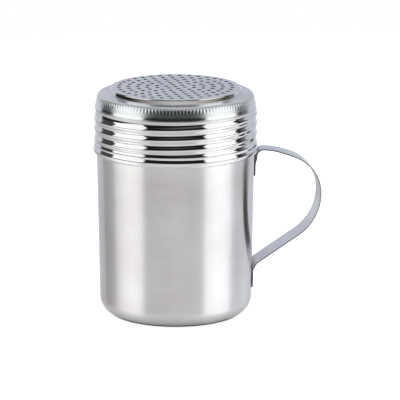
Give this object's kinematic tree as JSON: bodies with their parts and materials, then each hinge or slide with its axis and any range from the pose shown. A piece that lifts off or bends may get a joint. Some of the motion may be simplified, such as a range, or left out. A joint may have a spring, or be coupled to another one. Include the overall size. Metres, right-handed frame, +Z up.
{
  "type": "spice dredge shaker",
  "caption": "Stainless spice dredge: drawn round cup with a welded strap handle and a perforated lid that screws on.",
  "frame": {"origin": "centre of the cup's flat foot, on the cup's axis", "axes": "+Z up along the cup's axis, +X from the axis towards the handle, +Y across the handle's width"},
  "size_m": [0.0981, 0.0706, 0.0985],
  "materials": {
    "cup_steel": "satin stainless steel with soft vertical reflections",
    "handle_steel": "satin stainless strip with rolled edges",
    "weld_steel": "dull round spot-weld marks",
    "lid_steel": "polished stainless steel, satin on the perforated platform"
  },
  "bodies": {
    "cup": {"cup_body": "cup_steel", "handle_strap": "handle_steel", "upper_foot_weld_front": "weld_steel", "upper_foot_weld_back": "weld_steel", "lower_foot_weld_front": "weld_steel", "lower_foot_weld_back": "weld_steel"},
    "hem": {"lid_hem": "lid_steel"},
    "lid": {"lid_shell": "lid_steel"}
  },
  "joints": [
    {"name": "lid_lift", "type": "slide", "parent": "cup", "child": "hem", "axis": [0, 0, 1], "range_m": [0, 0.02117]},
    {"name": "lid_turn", "type": "hinge", "parent": "hem", "child": "lid", "pos_m": [0, 0, 0.085], "axis": [0, 0, 1], "range_deg": [0, 1800]}
  ],
  "couplings": [
    {"joint": "lid_lift", "follows": "lid_turn", "m_per_rad": 0.00067375}
  ]
}
